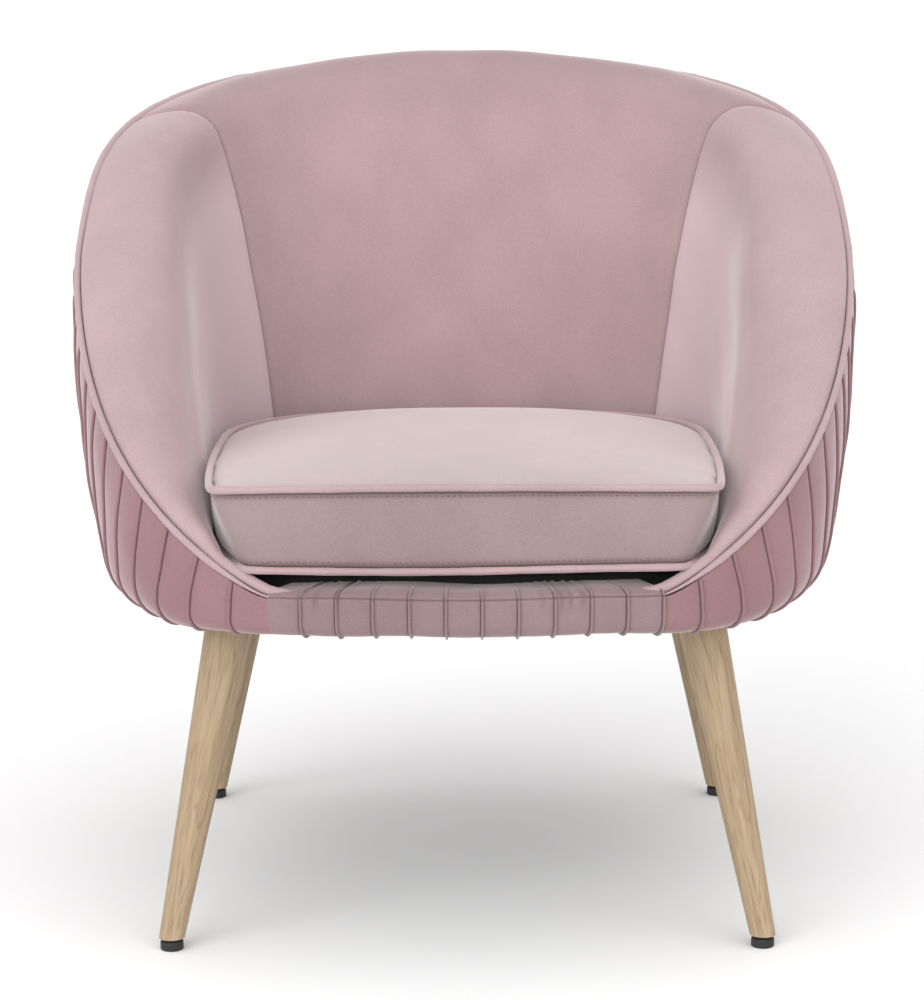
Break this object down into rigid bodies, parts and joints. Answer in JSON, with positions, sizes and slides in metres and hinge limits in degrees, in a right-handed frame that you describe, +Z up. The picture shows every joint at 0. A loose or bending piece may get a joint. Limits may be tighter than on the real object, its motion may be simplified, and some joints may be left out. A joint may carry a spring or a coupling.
{
  "type": "upholstered tub armchair",
  "caption": "Low tub armchair in velvet with a pleated outer shell, piped rim, loose boxed seat cushion and splayed tapered wooden legs on levelling glides.",
  "frame": {"origin": "on the floor, under the middle of the chair's bounding box", "axes": "+Z up, the chair's front faces -Y, +X to the right as seen from the front"},
  "size_m": [0.7424, 0.7002, 0.785],
  "materials": {
    "velvet": "short-pile velvet, dusty pink, soft sheen",
    "foam": "upholstery foam, cream",
    "plywood": "bare plywood",
    "fibreboard": "bare thin board",
    "webbing": "woven elastic webbing, black",
    "black_cloth": "non-woven black cloth",
    "steel": "zinc plated",
    "oak": "light oak, satin lacquer",
    "black_plastic": "black moulded plastic"
  },
  "bodies": {
    "chair": {"back_cover": "velvet", "arm_cover_left": "velvet", "arm_cover_right": "velvet", "outer_back_cover": "velvet", "outer_side_cover_left": "velvet", "outer_side_cover_right": "velvet", "front_band": "velvet", "rim_piping": "velvet", "back_foam": "foam", "arm_foam_left": "foam", "arm_foam_right": "foam", "front_edge_foam": "foam", "deck_pad": "foam", "base_ring": "plywood", "back_rib": "plywood", "back_rib_left": "plywood", "back_rib_right": "plywood", "side_rib_left": "plywood", "side_rib_right": "plywood", "arm_rib_left": "plywood", "arm_rib_right": "plywood", "arm_post_left": "plywood", "arm_post_right": "plywood", "rim_hoop": "plywood", "outer_back_board": "fibreboard", "outer_side_board_left": "fibreboard", "outer_side_board_right": "fibreboard", "webbing_lengthwise": "webbing", "webbing_crosswise": "webbing", "deck_cloth": "black_cloth", "dust_cover": "black_cloth", "leg_bolts": "steel", "tee_nuts": "steel", "front_left_leg": "oak", "front_left_glide_insert": "steel", "front_right_leg": "oak", "front_right_glide_insert": "steel", "rear_left_leg": "oak", "rear_left_glide_insert": "steel", "rear_right_leg": "oak", "rear_right_glide_insert": "steel"},
    "seat_cushion": {"cushion_core": "foam", "cushion_top_panel": "velvet", "cushion_boxing": "velvet", "cushion_bottom_panel": "velvet", "cushion_top_piping": "velvet", "cushion_bottom_piping": "velvet"},
    "front_left_glide_stem": {"front_left_glide_stem": "steel"},
    "front_left_glide_pad": {"front_left_glide_pad": "black_plastic"},
    "front_right_glide_stem": {"front_right_glide_stem": "steel"},
    "front_right_glide_pad": {"front_right_glide_pad": "black_plastic"},
    "rear_left_glide_stem": {"rear_left_glide_stem": "steel"},
    "rear_left_glide_pad": {"rear_left_glide_pad": "black_plastic"},
    "rear_right_glide_stem": {"rear_right_glide_stem": "steel"},
    "rear_right_glide_pad": {"rear_right_glide_pad": "black_plastic"}
  },
  "joints": [
    {"name": "cushion_lift", "type": "slide", "parent": "chair", "child": "seat_cushion", "axis": [0, 0, 1], "range_m": [0, 0.5]},
    {"name": "front_left_glide_height", "type": "slide", "parent": "chair", "child": "front_left_glide_stem", "axis": [0, 0, -1], "range_m": [-0.0015, 0.008]},
    {"name": "front_left_glide_turn", "type": "hinge", "parent": "front_left_glide_stem", "child": "front_left_glide_pad", "pos_m": [-0.268, -0.278, 0], "axis": [0, 0, -1], "range_deg": [-540, 2880]},
    {"name": "front_right_glide_height", "type": "slide", "parent": "chair", "child": "front_right_glide_stem", "axis": [0, 0, -1], "range_m": [-0.0015, 0.008]},
    {"name": "front_right_glide_turn", "type": "hinge", "parent": "front_right_glide_stem", "child": "front_right_glide_pad", "pos_m": [0.268, -0.278, 0], "axis": [0, 0, -1], "range_deg": [-540, 2880]},
    {"name": "rear_left_glide_height", "type": "slide", "parent": "chair", "child": "rear_left_glide_stem", "axis": [0, 0, -1], "range_m": [-0.0015, 0.008]},
    {"name": "rear_left_glide_turn", "type": "hinge", "parent": "rear_left_glide_stem", "child": "rear_left_glide_pad", "pos_m": [-0.268, 0.227, 0], "axis": [0, 0, -1], "range_deg": [-540, 2880]},
    {"name": "rear_right_glide_height", "type": "slide", "parent": "chair", "child": "rear_right_glide_stem", "axis": [0, 0, -1], "range_m": [-0.0015, 0.008]},
    {"name": "rear_right_glide_turn", "type": "hinge", "parent": "rear_right_glide_stem", "child": "rear_right_glide_pad", "pos_m": [0.268, 0.227, 0], "axis": [0, 0, -1], "range_deg": [-540, 2880]}
  ],
  "couplings": [
    {"joint": "front_left_glide_height", "follows": "front_left_glide_turn", "m_per_rad": 0.00015915},
    {"joint": "front_right_glide_height", "follows": "front_right_glide_turn", "m_per_rad": 0.00015915},
    {"joint": "rear_left_glide_height", "follows": "rear_left_glide_turn", "m_per_rad": 0.00015915},
    {"joint": "rear_right_glide_height", "follows": "rear_right_glide_turn", "m_per_rad": 0.00015915}
  ]
}
